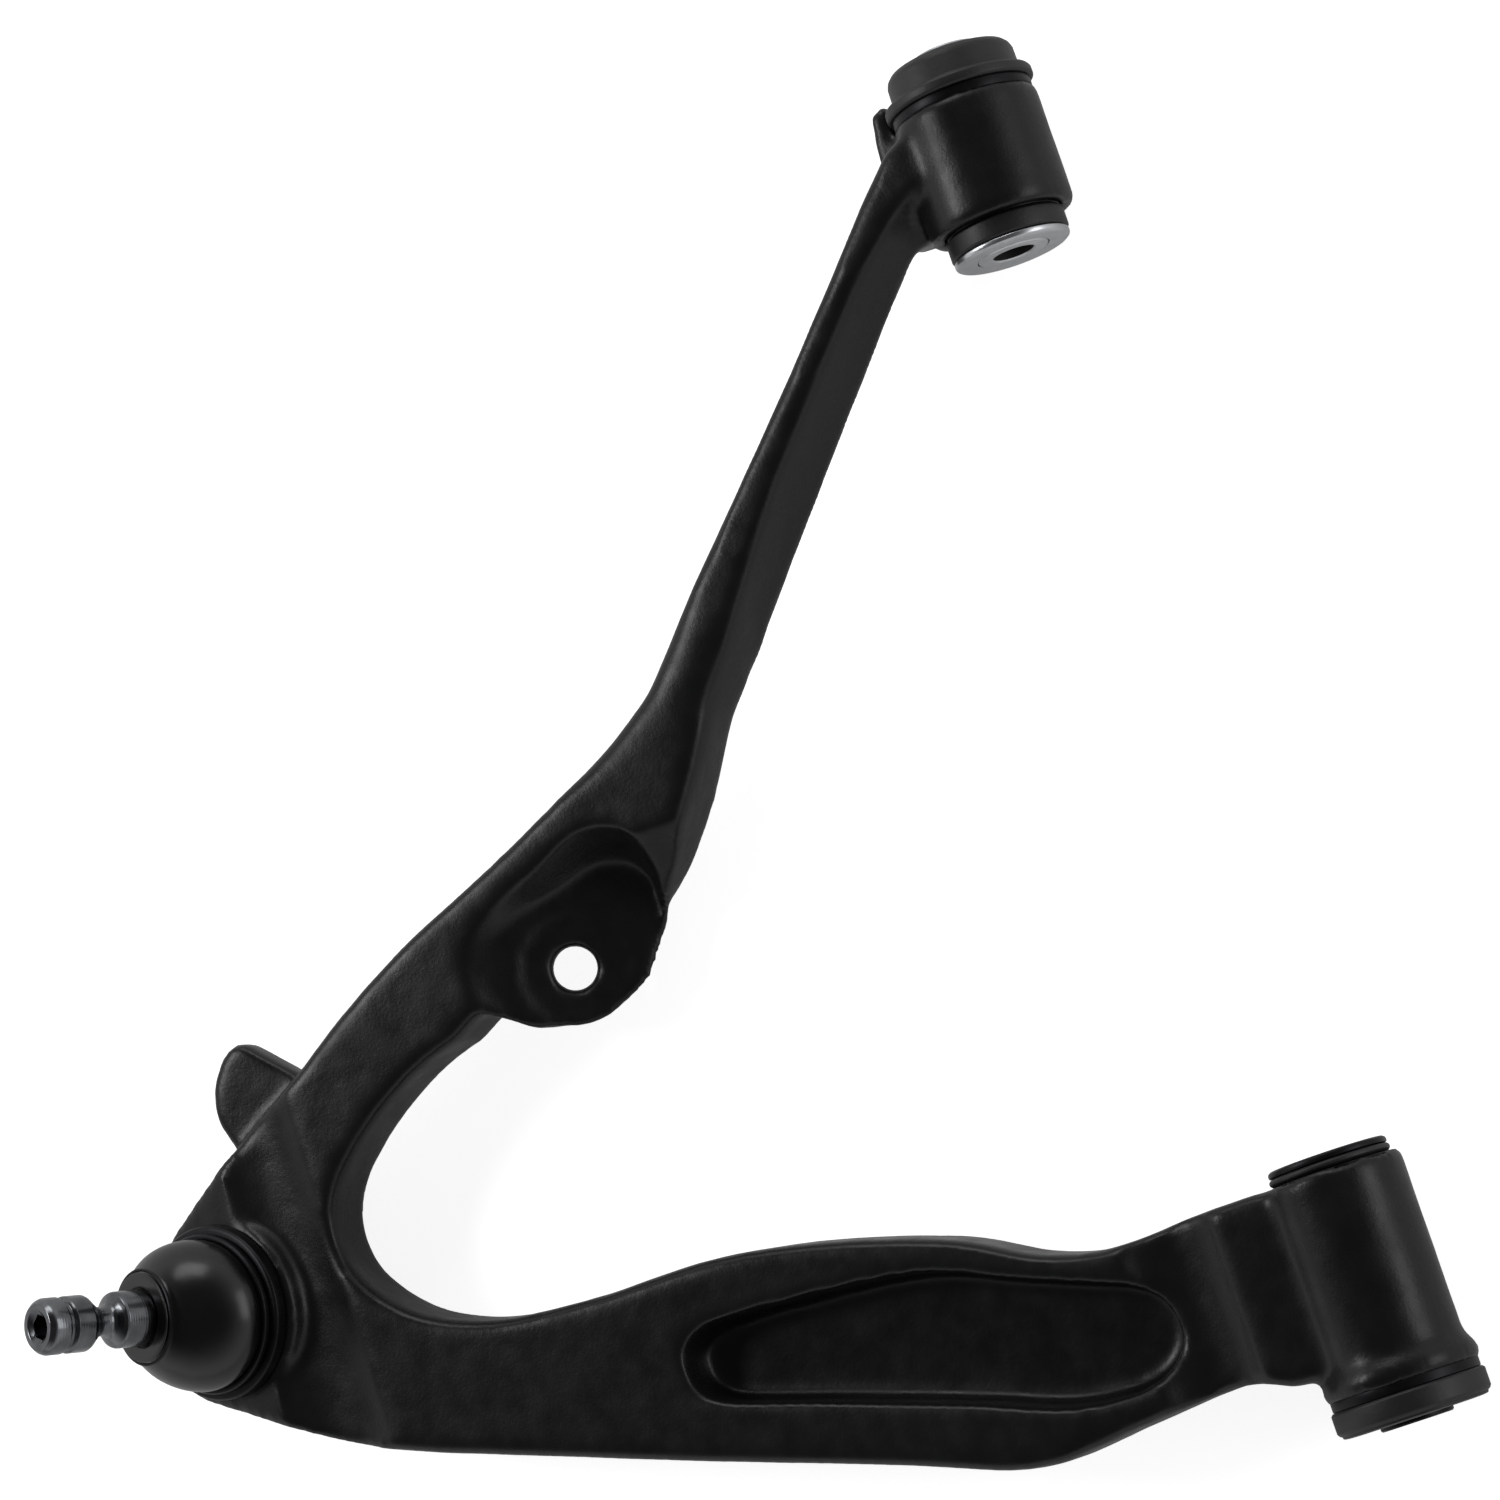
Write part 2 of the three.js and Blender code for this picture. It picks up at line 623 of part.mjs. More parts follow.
function ballStud() {
  const shank = 10;
  const body = solid(turnedSolid([
    [0, -13.5],
    ...sphereArc(BALL_RADIUS, -13.5, Math.sqrt(BALL_RADIUS ** 2 - 8 ** 2), 10),
    [8, 15],
    [shank, 24],
    [shank, 57.5],
    [shank - 1, 58.5],
    [5.2, 60],
    [5.2, 66],
    [shank, 71],
    [shank, 78.5],
    [shank - 1.4, 79.4],
    [shank - 1.4, 80.6],
    [shank, 81.5],
    [shank, 87],
    [shank - 1.8, 89.5],
    [6.2, 89.5],
    [4.8, 88.4],
    [0, 88.4],
  ], 28));
  const socket = cutter(4.6, 12, 6).translate(0, 0, 88.5);
  return geometryOf(body.subtract(solid(socket)));
}

addPiece('ball_stud', ballStud(), studSteel, stud);

// Dust boot, turned straight and then bent over so that its neck follows the leaning stud.
const BOOT = { base: FLANGE_TOP + FIT, bendFrom: 22, bendTo: 40, neckTop: 46.5 };

function dustBoot() {
  const { base, bendFrom, bendTo, neckTop } = BOOT;
  const boot = turned([
    [23, base],
    [26.2, base],
    [26.2, 22],
    [27, 24.5],
    [26.9, 28],
    [25.6, 32.5],
    [23, 37],
    [19.6, 41],
    [16.6, 43.4],
    [16, 44.2],
    [16, neckTop - 0.6],
    [15.4, neckTop],
    [13.3, neckTop],
    [13.3, 42.4],
    [17.4, 39.6],
    [21, 35.4],
    [24.4, 27],
    [23.6, 22.5],
  ], 32);
  const lean = new THREE.Quaternion();
  return reshape(boot, (v) => {
    lean.identity().slerp(stud.quaternion, THREE.MathUtils.smoothstep(v.z, bendFrom, bendTo));
    v.applyQuaternion(lean);
  });
}

addPiece('dust_boot', dustBoot(), rubber, ballJoint);

addPiece('boot_base_ring', turned([
  [26.5, BOOT.base],
  [28, BOOT.base],
  [28.4, BOOT.base + 0.5],
  [28.4, BOOT.base + 2.4],
  [28, BOOT.base + 2.9],
  [26.5, BOOT.base + 2.9],
], 36), blackSteel, ballJoint);

addPiece('boot_neck_ring', turned([
  [16.3, 44.4],
  [17.1, 44.2],
  [17.6, 44.9],
  [17.1, 45.6],
  [16.3, 45.4],
], 28), brightSteel, stud);

addPiece('boot_lip_bush', turned([
  [10.3, 41.4],
  [13, 41.4],
  [13, 45.4],
  [10.3, 45.4],
], 28), polymer, stud);

export default part;
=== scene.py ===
import math

import bpy
from mathutils import Matrix, Quaternion, Vector


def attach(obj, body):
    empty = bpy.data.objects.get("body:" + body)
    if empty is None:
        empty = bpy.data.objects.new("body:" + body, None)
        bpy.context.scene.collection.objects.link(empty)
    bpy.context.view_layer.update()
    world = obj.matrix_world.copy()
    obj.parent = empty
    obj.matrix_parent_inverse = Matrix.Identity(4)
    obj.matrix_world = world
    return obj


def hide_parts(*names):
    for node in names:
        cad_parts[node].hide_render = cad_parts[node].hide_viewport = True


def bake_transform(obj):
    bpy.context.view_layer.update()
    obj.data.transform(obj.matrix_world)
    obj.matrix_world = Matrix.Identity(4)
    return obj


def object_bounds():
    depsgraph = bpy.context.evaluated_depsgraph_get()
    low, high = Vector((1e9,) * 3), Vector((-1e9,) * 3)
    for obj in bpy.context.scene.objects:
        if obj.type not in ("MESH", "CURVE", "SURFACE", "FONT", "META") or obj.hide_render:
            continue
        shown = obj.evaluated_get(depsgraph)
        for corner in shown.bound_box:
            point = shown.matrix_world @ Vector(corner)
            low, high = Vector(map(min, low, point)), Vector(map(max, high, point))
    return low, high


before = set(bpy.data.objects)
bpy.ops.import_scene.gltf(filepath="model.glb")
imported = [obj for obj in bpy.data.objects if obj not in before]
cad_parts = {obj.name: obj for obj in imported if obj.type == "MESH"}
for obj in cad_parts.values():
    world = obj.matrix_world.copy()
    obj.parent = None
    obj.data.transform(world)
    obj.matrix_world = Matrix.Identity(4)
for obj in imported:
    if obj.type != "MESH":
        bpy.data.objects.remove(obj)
cad_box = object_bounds()

# --- Control arm ---------------------------------------------------------------------------------------
# One ductile-iron sand casting: two legs, an eye for each bush, the link seat and the ball joint's boss.
# The mould leaves every corner and foot rounded and the skin faintly uneven.
CAST_VOXEL = 0.0016
EDGE_ROUNDING = 2  # smoothing passes between the two remeshes
CAST_SMOOTHING = 6
FACED_ENDS = (0.1785, 0.2215, -0.158, -0.231)  # the eyes' ends are faced square after casting
FACING_REACH = 0.004
EYE_REACH = 0.0275
MACHINED_SHARE = 0.35  # how much of the smoothing reaches a faced end
LEG_ROOT = Vector((0.072, 0.176, 0.010))  # where the slender front leg grows out of the plate
LEG_ROOT_REACH = 0.045
LEG_ROOT_SMOOTHING = 70
CAST_UNEVENNESS = 0.0003
CAST_UNEVEN_SIZE = 0.014

ARM = "arm"


def select_only(piece):
    """Leaves edit mode and makes the piece the only one selected."""
    if bpy.context.object and bpy.context.object.mode != "OBJECT":
        bpy.ops.object.mode_set(mode="OBJECT")
    bpy.ops.object.select_all(action="DESELECT")
    piece.select_set(True)
    bpy.context.view_layer.objects.active = piece


def modify(piece, kind, **settings):
    """Adds a modifier to the piece and applies it."""
    select_only(piece)
    modifier = piece.modifiers.new(kind.title(), kind)
    for name, value in settings.items():
        setattr(modifier, name, value)
    bpy.ops.object.modifier_apply(modifier=modifier.name)


def merged_copy(node, name):
    """A copy of a CAD node with its loose triangles joined."""
    piece = bpy.data.objects.new(name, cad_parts[node].data.copy())
    piece.data.name = name
    piece.data.materials.clear()
    bpy.context.collection.objects.link(piece)
    select_only(piece)
    bpy.ops.object.mode_set(mode="EDIT")
    bpy.ops.mesh.select_all(action="SELECT")
    bpy.ops.mesh.remove_doubles(threshold=1e-6)
    bpy.ops.object.mode_set(mode="OBJECT")
    return piece


casting = merged_copy("control_arm", "arm_casting")
# The first remesh joins the facets, and the second evens out the skin once their edges are rounded.
modify(casting, "REMESH", mode="VOXEL", voxel_size=CAST_VOXEL)
modify(casting, "SMOOTH", factor=0.5, iterations=EDGE_ROUNDING)
modify(casting, "REMESH", mode="VOXEL", voxel_size=CAST_VOXEL, use_smooth_shade=True)
as_cast = casting.vertex_groups.new(name="as_cast")
for vertex in casting.data.vertices:
    from_facing = min(abs(vertex.co.x - x) for x in FACED_ENDS)
    machined = vertex.co.yz.length < EYE_REACH and from_facing < FACING_REACH
    as_cast.add([vertex.index], MACHINED_SHARE if machined else 1.0, "REPLACE")
modify(casting, "SMOOTH", factor=0.5, iterations=CAST_SMOOTHING, vertex_group="as_cast")
blend_zone = casting.vertex_groups.new(name="leg_root")
for vertex in casting.data.vertices:
    share = 1 - (vertex.co - LEG_ROOT).length / LEG_ROOT_REACH
    if share > 0:
        blend_zone.add([vertex.index], min(1, 2 * share), "REPLACE")
modify(casting, "SMOOTH", factor=0.5, iterations=LEG_ROOT_SMOOTHING, vertex_group="leg_root")
cast_skin = bpy.data.textures.new("cast_skin", "CLOUDS")
cast_skin.noise_scale = CAST_UNEVEN_SIZE
modify(casting, "DISPLACE", texture=cast_skin, strength=CAST_UNEVENNESS, mid_level=0.5)


def linear(code):
    """The colour of an sRGB hex code, as a shader takes it."""
    channels = [int(code[i:i + 2], 16) / 255 for i in (1, 3, 5)]
    return (*[c / 12.92 if c <= 0.04045 else ((c + 0.055) / 1.055) ** 2.4 for c in channels], 1)


def add_node(tree, kind, settings=None, links=None):
    """Adds a node. A setting is one of its sockets, by name or number, or else one of its properties."""
    node = tree.nodes.new(kind)
    for key, value in (settings or {}).items():
        if isinstance(key, int) or key in node.inputs:
            node.inputs[key].default_value = value
        else:
            setattr(node, key, value)
    for key, source in (links or {}).items():
        tree.links.new(source, node.inputs[key])
    return node


def new_material(name, settings):
    """A material with its node tree and shader. The settings are sockets of the shader."""
    material = bpy.data.materials.new(name)
    material.use_nodes = True
    tree = material.node_tree
    shader = tree.nodes["Principled BSDF"]
    for socket, value in settings.items():
        shader.inputs[socket].default_value = value
    return material, tree, shader


# Black dip paint over the sand-cast skin: a satin coat that sags in waves of 9 mm and softens a grit of
# about a millimetre. Its black drifts over 45 mm, and it greys over the corners, where it pulls thin.
dip_paint, tree, shader = new_material("black dip paint on cast iron", {"Metallic": 0.0, "IOR": 1.4})
place = add_node(tree, "ShaderNodeTexCoord").outputs["Object"]
grit = add_node(tree, "ShaderNodeTexNoise", {"Scale": 850, "Detail": 3, "Roughness": 0.6},
                {"Vector": place})
sag = add_node(tree, "ShaderNodeTexNoise", {"Scale": 110, "Detail": 2}, {"Vector": place})
patch = add_node(tree, "ShaderNodeTexNoise", {"Scale": 22, "Detail": 4}, {"Vector": place})
corner = add_node(tree, "ShaderNodeMapRange", {1: 0.53, 2: 0.62},
                  {0: add_node(tree, "ShaderNodeNewGeometry").outputs["Pointiness"]})
coat = add_node(tree, "ShaderNodeMix", {"data_type": "RGBA", 6: linear("#0d0e0f"), 7: linear("#171819")},
                {0: patch.outputs["Fac"]})
worn = add_node(tree, "ShaderNodeMix", {"data_type": "RGBA", 7: linear("#333436")},
                {0: corner.outputs[0], 6: coat.outputs[2]})
tree.links.new(worn.outputs[2], shader.inputs["Base Color"])
gloss = add_node(tree, "ShaderNodeMapRange", {1: 0.3, 2: 0.7, 3: 0.27, 4: 0.38}, {0: sag.outputs["Fac"]})
tree.links.new(gloss.outputs[0], shader.inputs["Roughness"])
sag_bump = add_node(tree, "ShaderNodeBump", {"Strength": 0.2, "Distance": 0.0008},
                    {"Height": sag.outputs["Fac"]})
grit_bump = add_node(tree, "ShaderNodeBump", {"Strength": 0.22, "Distance": 0.0003},
                     {"Height": grit.outputs["Fac"], "Normal": sag_bump.outputs[0]})
tree.links.new(grit_bump.outputs[0], shader.inputs["Normal"])

casting.data.materials.append(dip_paint)
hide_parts("control_arm")
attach(casting, ARM)

# --- Bush sleeves ---------------------------------------------------------------------------------------
# Each bush's outer sleeve is drawn steel, pressed into the eye up to its turned-over flange. Only the
# flange's edge shows, as a thin dark ring between the eye and the rubber.
MM = 0.001
SLEEVE_OUTER = 20
SLEEVE_INNER = 17.7
FLANGE_TOP = 2.7
FLANGE_SEAT = 0.9  # the flange beds into the eye's faced end
FACETS = 96
SHARP = math.radians(32)  # an edge that turns more than this stays crisp
ROUNDED = math.radians(20)  # and one that turns more than this is bevelled


def turned(name, profile, facets=FACETS, bevel=0.3, filled=False):
    """A piece turned about +Z from [radius, height] pairs in millimetres. An open profile is closed onto
    its first ring, or filled across both ends."""
    bpy.ops.object.select_all(action="DESELECT")
    radius, height = profile[0]
    bpy.ops.mesh.primitive_circle_add(vertices=facets, radius=radius * MM)
    piece = bpy.context.object
    piece.name = piece.data.name = name
    bpy.ops.object.mode_set(mode="EDIT")
    bpy.ops.mesh.select_mode(type="EDGE")
    bpy.ops.mesh.select_all(action="SELECT")
    bpy.ops.transform.translate(value=(0, 0, height * MM))
    for next_radius, next_height in profile[1:]:
        rise = (0, 0, (next_height - height) * MM)
        bpy.ops.mesh.extrude_region_move(TRANSFORM_OT_translate={"value": rise})
        growth = next_radius / radius
        bpy.ops.transform.resize(value=(growth, growth, 1), center_override=(0, 0, 0))
        radius, height = next_radius, next_height
    bpy.ops.mesh.select_all(action="DESELECT")
    bpy.ops.mesh.select_non_manifold()
    if filled:
        bpy.ops.mesh.fill_holes(sides=0)
    else:
        bpy.ops.mesh.bridge_edge_loops()
    bpy.ops.mesh.select_all(action="SELECT")
    bpy.ops.mesh.normals_make_consistent(inside=False)
    bpy.ops.object.mode_set(mode="OBJECT")
    if bevel:
        modify(piece, "BEVEL", width=bevel * MM, segments=3, limit_method="ANGLE", angle_limit=ROUNDED)
    select_only(piece)
    bpy.ops.object.shade_smooth_by_angle(angle=SHARP)
    return piece


def put(piece, placement):
    """Bakes a placement into the piece's mesh."""
    select_only(piece)
    piece.matrix_world = placement
    bpy.ops.object.transform_apply(location=True, rotation=True, scale=True)


def finish_piece(piece, material, slot, body, *nodes):
    """Gives a finished piece its material, if it has none, and its place in the assembly."""
    if not piece.data.materials:
        piece.data.materials.append(material)
    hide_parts(*nodes)
    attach(piece, body)


def along_pivot(face, outward):
    """Places a piece along the pivot, +Z out of a bush's flanged end, with 0 at that end of the eye."""
    turn = Matrix.Rotation(math.radians(90 * outward), 4, "Y")
    return Matrix.Translation((face * MM, 0, 0)) @ turn


# Each bush is laid out from its flanged end. span is the eye's length, and the rest are its own sizes.
# lip, cap and thrust are a radius and a height each. core is the inner sleeve's reach past each end.
BUSHES = {
    "front": {"face": 221.5, "outward": 1, "span": 43, "flange": 24.6, "lip": (26.2, 4.4),
              "cap": (22.6, 11.5), "thrust": (20.8, 7.6), "core": (10.5, 20.5)},
    "rear": {"face": -231, "outward": -1, "span": 73, "flange": 25.4, "lip": (26.4, 8),
             "cap": (25, 1.4), "thrust": (20.8, 2.6), "core": (5.5, 13.5)},
}

# Blackened steel: a thin dark oxide over turned steel, oiled, and stained in patches of about 7 mm. The
# metal still shows through as a grey sheen.
black_steel, tree, shader = new_material("oil-blackened turned steel", {"Metallic": 0.85})
place = add_node(tree, "ShaderNodeTexCoord").outputs["Object"]
stain = add_node(tree, "ShaderNodeTexNoise", {"Scale": 140, "Detail": 4}, {"Vector": place})
oxide = add_node(tree, "ShaderNodeMix", {"data_type": "RGBA", 6: linear("#18181a"), 7: linear("#2a2a2c")},
                 {0: stain.outputs["Fac"]})
tree.links.new(oxide.outputs[2], shader.inputs["Base Color"])
oil = add_node(tree, "ShaderNodeMapRange", {3: 0.3, 4: 0.45}, {0: stain.outputs["Fac"]})
tree.links.new(oil.outputs[0], shader.inputs["Roughness"])
oxide_bump = add_node(tree, "ShaderNodeBump", {"Strength": 0.2, "Distance": 0.0002},
                      {"Height": stain.outputs["Fac"]})
tree.links.new(oxide_bump.outputs[0], shader.inputs["Normal"])

for end, size in BUSHES.items():
    sleeve = turned(f"{end}_sleeve", [
        (SLEEVE_INNER, -size["span"]),
        (SLEEVE_OUTER, -size["span"]),
        (SLEEVE_OUTER, -FLANGE_SEAT),
        (size["flange"], -FLANGE_SEAT),
        (size["flange"], FLANGE_TOP),
        (SLEEVE_INNER, FLANGE_TOP),
    ], bevel=0.5)
    put(sleeve, along_pivot(size["face"], size["outward"]))
    finish_piece(sleeve, black_steel, "black_steel", ARM, f"{end}_bush_sleeve")

# --- Bush rubbers ---------------------------------------------------------------------------------------
# Natural rubber, moulded and bonded between the two sleeves. At the flanged end it stands out as a lip
# and a rounded cap, and at the other end as a thrust disc with a rounded rim.
RUBBER_INNER = 12.8
THRUST_GAP = 0.3  # from the eye's open end to the thrust disc
SNUG = 0.05

# Moulded black rubber: satin, with the mould's faint orange peel of about a millimetre and a half, and a
# dry grey bloom in patches of about 11 mm.
bush_rubber, tree, shader = new_material("moulded black natural rubber", {"Metallic": 0.0})
place = add_node(tree, "ShaderNodeTexCoord").outputs["Object"]
bloom = add_node(tree, "ShaderNodeTexNoise", {"Scale": 90, "Detail": 5, "Roughness": 0.6},
                 {"Vector": place})
black = add_node(tree, "ShaderNodeMix", {"data_type": "RGBA", 6: linear("#121213"), 7: linear("#232324")},
                 {0: bloom.outputs["Fac"]})
tree.links.new(black.outputs[2], shader.inputs["Base Color"])
dry = add_node(tree, "ShaderNodeMapRange", {3: 0.4, 4: 0.55}, {0: bloom.outputs["Fac"]})
tree.links.new(dry.outputs[0], shader.inputs["Roughness"])
peel = add_node(tree, "ShaderNodeTexNoise", {"Scale": 700, "Detail": 2}, {"Vector": place})
peel_bump = add_node(tree, "ShaderNodeBump", {"Strength": 0.25, "Distance": 0.0003},
                     {"Height": peel.outputs["Fac"]})
tree.links.new(peel_bump.outputs[0], shader.inputs["Normal"])

for end, size in BUSHES.items():
    lip_radius, lip_height = size["lip"]
    cap_radius, cap_height = size["cap"]
    thrust_radius, thrust_height = size["thrust"]
    lip_top = FLANGE_TOP + lip_height
    cap_top = lip_top + cap_height
    open_end = -size["span"] - SNUG
    thrust_face = -size["span"] - THRUST_GAP - thrust_height
    rubber = turned(f"{end}_rubber", [
        (RUBBER_INNER, thrust_face),
        (thrust_radius - 2.2, thrust_face),
        (thrust_radius - 0.7, thrust_face + 0.3),
        (thrust_radius, thrust_face + 1),
        (thrust_radius, open_end - 0.9),
        (thrust_radius - 0.8, open_end),
        (SLEEVE_INNER - 0.3, open_end),
        (SLEEVE_INNER - 0.3, FLANGE_TOP),
        (lip_radius - 0.8, FLANGE_TOP),
        (lip_radius, FLANGE_TOP + 0.8),
        (lip_radius, lip_top - 1.2),
        (lip_radius - 0.6, lip_top - 0.3),
        (cap_radius + 0.3, lip_top),
        (cap_radius, lip_top + 0.08 * cap_height),
        (cap_radius - 0.1, cap_top - 0.38 * cap_height),
        (cap_radius - 0.7, cap_top - 0.23 * cap_height),
        (cap_radius - 2.1, cap_top - 0.1 * cap_height),
        (cap_radius - 4.6, cap_top - 0.03 * cap_height),
        (RUBBER_INNER + 1.5, cap_top),
        (RUBBER_INNER, cap_top - 0.4),
    ], bevel=0.25)
    put(rubber, along_pivot(size["face"], size["outward"]))
    finish_piece(rubber, bush_rubber, "rubber", ARM, f"{end}_bush_rubber")

# --- Inner sleeves and washers --------------------------------------------------------------------------
# The inner sleeve is thick steel tube that the pivot bolt clamps end to end. The washer beside the thrust
# disc is stamped. The front pair is zinc plated and the rear pair blackened. They turn with the bolt.
BOLT_HOLE = 7.15
HOLE_CHAMFER = 0.6
CORE_RADIUS = 12.5
WASHER = 2
WASHER_DISH = 0.25

# Bright zinc plate: a light blue-white metal, clouded in patches of about 6 mm and finely ringed where the
# tube was faced off.
zinc, tree, shader = new_material("bright zinc-plated steel", {"Metallic": 1.0})
place = add_node(tree, "ShaderNodeTexCoord").outputs["Object"]
cloud = add_node(tree, "ShaderNodeTexNoise", {"Scale": 160, "Detail": 4}, {"Vector": place})
plate = add_node(tree, "ShaderNodeMix", {"data_type": "RGBA", 6: linear("#b4b7bb"), 7: linear("#e2e3e5")},
                 {0: cloud.outputs["Fac"]})
tree.links.new(plate.outputs[2], shader.inputs["Base Color"])
# The tool's feed is near 0.2 mm. The rings are drawn 1.2 mm apart so that they show.
rings = add_node(tree, "ShaderNodeTexWave", {"wave_type": "RINGS", "rings_direction": "X", "Scale": 260,
                                             "Distortion": 0.4}, {"Vector": place})
dull = add_node(tree, "ShaderNodeMapRange", {3: 0.24, 4: 0.36}, {0: cloud.outputs["Fac"]})
tree.links.new(dull.outputs[0], shader.inputs["Roughness"])
ring_bump = add_node(tree, "ShaderNodeBump", {"Strength": 0.15, "Distance": 0.0001},
                     {"Height": rings.outputs["Fac"]})
tree.links.new(ring_bump.outputs[0], shader.inputs["Normal"])

# Inside the bolt hole the tube is coloured near-black and matt, a painted shade for the deep hole, flaked in
# spots of about 3 mm.
painted_bore_shade, tree, shader = new_material("painted shade in the bolt hole", {"Metallic": 0.0})
place = add_node(tree, "ShaderNodeTexCoord").outputs["Object"]
flake = add_node(tree, "ShaderNodeTexNoise", {"Scale": 320, "Detail": 4}, {"Vector": place})
# These two near-blacks are the painted shade of the bolt hole.
scale = add_node(tree, "ShaderNodeMix", {"data_type": "RGBA", 6: linear("#0e0d0c"), 7: linear("#1d1b19")},
                 {0: flake.outputs["Fac"]})
tree.links.new(scale.outputs[2], shader.inputs["Base Color"])
crust = add_node(tree, "ShaderNodeMapRange", {3: 0.6, 4: 0.8}, {0: flake.outputs["Fac"]})
tree.links.new(crust.outputs[0], shader.inputs["Roughness"])
flake_bump = add_node(tree, "ShaderNodeBump", {"Strength": 0.3, "Distance": 0.0002},
                      {"Height": flake.outputs["Fac"]})
tree.links.new(flake_bump.outputs[0], shader.inputs["Normal"])

for end, size in BUSHES.items():
    open_reach, flanged_reach = size["core"]
    thrust_radius, thrust_height = size["thrust"]
    core = turned(f"{end}_inner_sleeve", [
        (BOLT_HOLE + HOLE_CHAMFER, -size["span"] - open_reach),
        (CORE_RADIUS - 0.5, -size["span"] - open_reach),
        (CORE_RADIUS, -size["span"] - open_reach + 0.5),
        (CORE_RADIUS, flanged_reach - 0.5),
        (CORE_RADIUS - 0.5, flanged_reach),
        (BOLT_HOLE + HOLE_CHAMFER, flanged_reach),
        (BOLT_HOLE, flanged_reach - HOLE_CHAMFER),
        (BOLT_HOLE, -size["span"] - open_reach + HOLE_CHAMFER),
    ], bevel=0.15)
    metal, slot = (zinc, "bright_steel") if end == "front" else (black_steel, "black_steel")
    core.data.materials.append(metal)
    core.data.materials.append(painted_bore_shade)
    # The faces of the bolt hole take the painted shade.
    for face in core.data.polygons:
        face.material_index = face.center.xy.length < (BOLT_HOLE + 0.2) * MM
    put(core, along_pivot(size["face"], size["outward"]))
    finish_piece(core, metal, slot, f"{end}_bush_core", f"{end}_bush_inner_sleeve")

    near = -size["span"] - THRUST_GAP - thrust_height - SNUG
    washer = turned(f"{end}_washer", [
        (CORE_RADIUS + 0.3, near - WASHER - WASHER_DISH),
        (thrust_radius - 1.4, near - WASHER - WASHER_DISH),
        (thrust_radius - 0.6, near - WASHER + 0.3),
        (thrust_radius - 0.4, near - WASHER + 0.9),
        (thrust_radius - 0.4, near - 0.3),
        (thrust_radius - 0.6, near),
        (CORE_RADIUS + 0.3, near),
    ], bevel=0.12)
    put(washer, along_pivot(size["face"], size["outward"]))
    finish_piece(washer, metal, slot, f"{end}_bush_core", f"{end}_bush_washer")

# --- Ball joint housing ---------------------------------------------------------------------------------
# A turned steel can pressed up to its flange into the arm's boss, with the ball and its liners inside. The
# flange's bright edge rings the boot's foot.
BALL = Vector((-0.077, 0.396, -0.003))


def leaning(forward, outboard):
    """The axis of a part that leans so many degrees forward and outboard."""
    slopes = (math.tan(math.radians(forward)), math.tan(math.radians(outboard)), 1)
    return Vector(slopes).normalized()


HOUSING_AXIS = leaning(2, 16)
STUD_AXIS = leaning(8, 26)


def placed_along(axis):
    """Places a piece with the ball's centre at 0 and +Z along the axis."""
    turn = Vector((0, 0, 1)).rotation_difference(axis)
    return Matrix.Translation(BALL) @ turn.to_matrix().to_4x4()


housing = turned("ball_joint_can", [
    (16, -22.8),
    (22.2, -22.8),
    (23.4, -22.3),
    (24, -21.2),
    (24, -18.5),
    (22.4, -18.5),
    (22.4, -16.3),
    (24, -16.3),
    (24, 13.3),
    (30.4, 13.3),
    (31, 13.9),
    (31, 17.6),
    (30.4, 18.3),
    (29.3, 18.5),
    (21.8, 18.5),
    (14.6, 9.5),
    (14.6, 8),
    (19, 8),
    (19, -20.6),
    (16, -20.6),
], bevel=0.25)
put(housing, placed_along(HOUSING_AXIS))
finish_piece(housing, black_steel, "black_steel", ARM, "ball_joint_housing")

# --- Cover and circlip ----------------------------------------------------------------------------------
# The can is closed underneath by a pressed, dished disc under its rolled edge. A spring-steel circlip in
# the can's groove keeps it from backing out of the boss.
cover = turned("cover_plate", [
    (4, -19.5),
    (6.5, -19.7),
    (9, -20.1),
    (18.7, -20.3),
    (18.7, -18.7),
    (9, -18.7),
], filled=True, bevel=0.15)
put(cover, placed_along(HOUSING_AXIS))
finish_piece(cover, black_steel, "black_steel", ARM, "housing_cover")

CIRCLIP_INNER = 22.7
CIRCLIP_OUTER = 26.5
CIRCLIP_TOP = -16.6
CIRCLIP_THICK = 1.6
CIRCLIP_GAP = 18

# A sliver of the ring's section is spun round to the gap.
bpy.ops.object.select_all(action="DESELECT")
bpy.ops.mesh.primitive_cube_add(size=1)
circlip = bpy.context.object
circlip.name = circlip.data.name = "spring_circlip"
bpy.ops.object.mode_set(mode="EDIT")
bpy.ops.mesh.select_all(action="SELECT")
width = CIRCLIP_OUTER - CIRCLIP_INNER
bpy.ops.transform.resize(value=(width * MM, 1e-4, CIRCLIP_THICK * MM))
middle = ((CIRCLIP_OUTER + CIRCLIP_INNER) / 2 * MM, 0, (CIRCLIP_TOP - CIRCLIP_THICK / 2) * MM)
bpy.ops.transform.translate(value=middle)
bpy.ops.mesh.select_mode(type="FACE")
bpy.ops.mesh.select_all(action="DESELECT")
bpy.ops.object.mode_set(mode="OBJECT")
for face in circlip.data.polygons:
    face.select = face.normal.y > 0.9
bpy.ops.object.mode_set(mode="EDIT")
bpy.ops.mesh.spin(steps=84, angle=math.radians(360 - CIRCLIP_GAP), center=(0, 0, 0), axis=(0, 0, 1))
bpy.ops.mesh.select_all(action="SELECT")
bpy.ops.mesh.remove_doubles(threshold=2e-6)
bpy.ops.mesh.normals_make_consistent(inside=False)
bpy.ops.object.mode_set(mode="OBJECT")
modify(circlip, "BEVEL", width=0.15 * MM, segments=2, limit_method="ANGLE", angle_limit=math.radians(40))
bpy.ops.object.shade_smooth_by_angle(angle=SHARP)
put(circlip, placed_along(HOUSING_AXIS) @ Matrix.Rotation(math.radians(CIRCLIP_GAP / 2), 4, "Z"))
finish_piece(circlip, zinc, "bright_steel", ARM, "housing_circlip")

